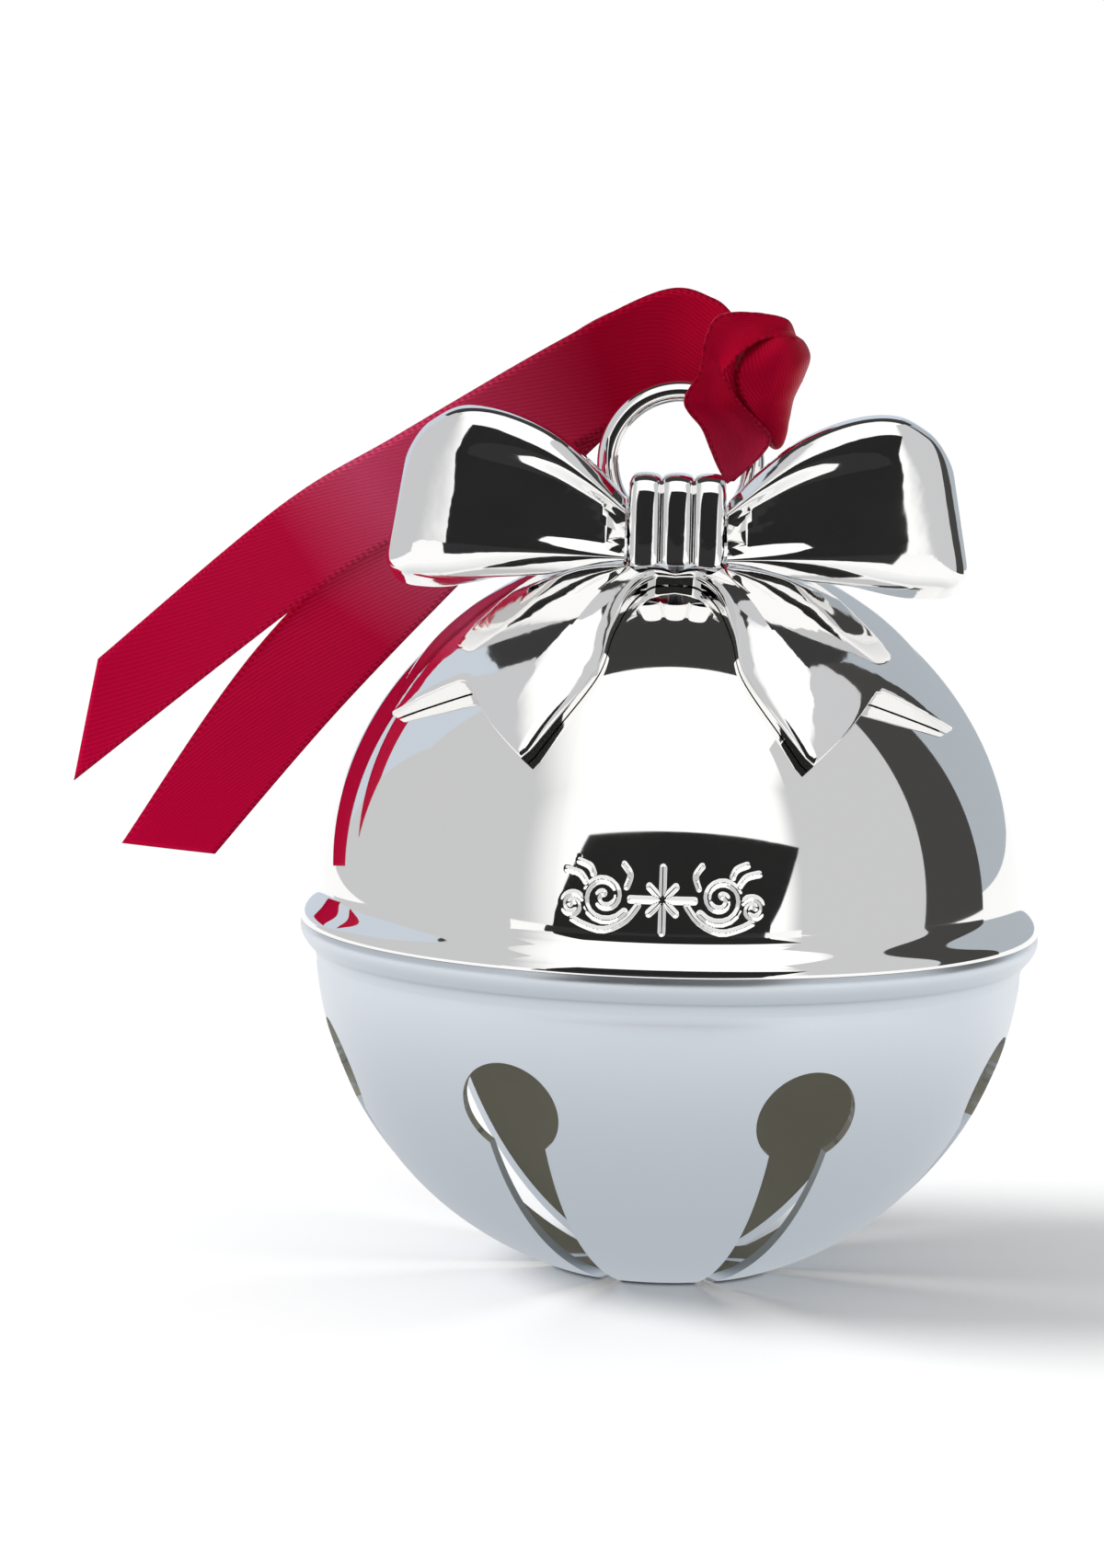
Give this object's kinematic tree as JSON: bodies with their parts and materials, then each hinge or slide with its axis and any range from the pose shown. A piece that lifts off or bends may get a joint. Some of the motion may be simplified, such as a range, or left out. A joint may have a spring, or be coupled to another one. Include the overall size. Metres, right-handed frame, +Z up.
{
  "type": "christmas bell ornament",
  "caption": "Round sleigh bell ornament with a domed top, slotted bowl, loose jingle ball, cast bow and a ribbon through its hanging ring.",
  "frame": {"origin": "middle of the flat foot under the bowl", "axes": "+Z up through the hanging ring, -Y towards the bow and the front, +X to the right seen from the front"},
  "size_m": [0.093, 0.07, 0.0929],
  "materials": {
    "silver": "mirror polished silver plate",
    "satin_silver": "soft bright silver plate",
    "steel": "plain steel",
    "ribbon": "crimson satin"
  },
  "bodies": {
    "bell": {"upper_shell": "silver", "lower_shell": "satin_silver", "ring_staple": "steel", "staple_plate": "steel", "bow_knot": "silver", "bow_loop_left": "silver", "bow_loop_right": "silver", "bow_tail_left": "silver", "bow_tail_right": "silver", "bow_screw": "steel", "bow_washer": "steel", "ribbon_tail_upper": "ribbon", "ribbon_tail_lower": "ribbon"},
    "ring": {"hanging_ring": "silver", "ribbon_knot": "ribbon", "ribbon_loop": "ribbon", "ribbon_bend_upper": "ribbon", "ribbon_bend_lower": "ribbon"},
    "ball": {"jingle_ball": "steel"}
  },
  "joints": [
    {"name": "ring_swing", "type": "hinge", "parent": "bell", "child": "ring", "pos_m": [0, 0, 0.0698], "axis": [1, 0, 0], "range_deg": [-55, 20]},
    {"name": "jingle_roll", "type": "hinge", "parent": "bell", "child": "ball", "pos_m": [0, 0, 0.03215], "axis": [0, 1, 0], "continuous": true}
  ]
}
